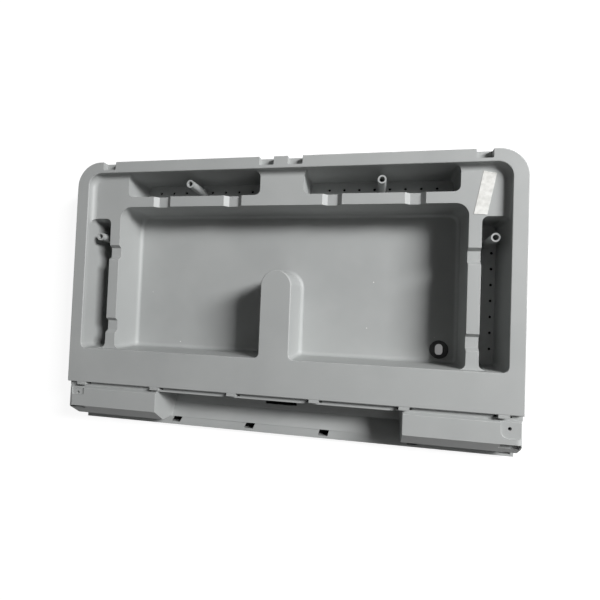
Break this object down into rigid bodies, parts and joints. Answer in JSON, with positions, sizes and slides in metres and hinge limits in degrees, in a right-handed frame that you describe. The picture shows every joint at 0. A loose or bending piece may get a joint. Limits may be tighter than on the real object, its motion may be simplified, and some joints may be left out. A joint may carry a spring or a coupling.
{
  "type": "injection moulded housing",
  "caption": "Wide shallow moulded housing shell: stepped rim, deep pocket with a tongue, slots with hollow posts, and a foot with end blocks.",
  "frame": {"origin": "middle of the footprint, on the plane the back rests on", "axes": "+X across the panel, +Y from the foot to the top edge, +Z out of the open front"},
  "size_m": [0.648, 0.4, 0.07],
  "materials": {
    "housing": "fine matte texture",
    "cable_bush": "matte",
    "label_tape": "matte crepe paper"
  },
  "bodies": {
    "root": {"housing": "housing", "cable_bush": "cable_bush", "label_tape": "label_tape"}
  },
  "joints": []
}
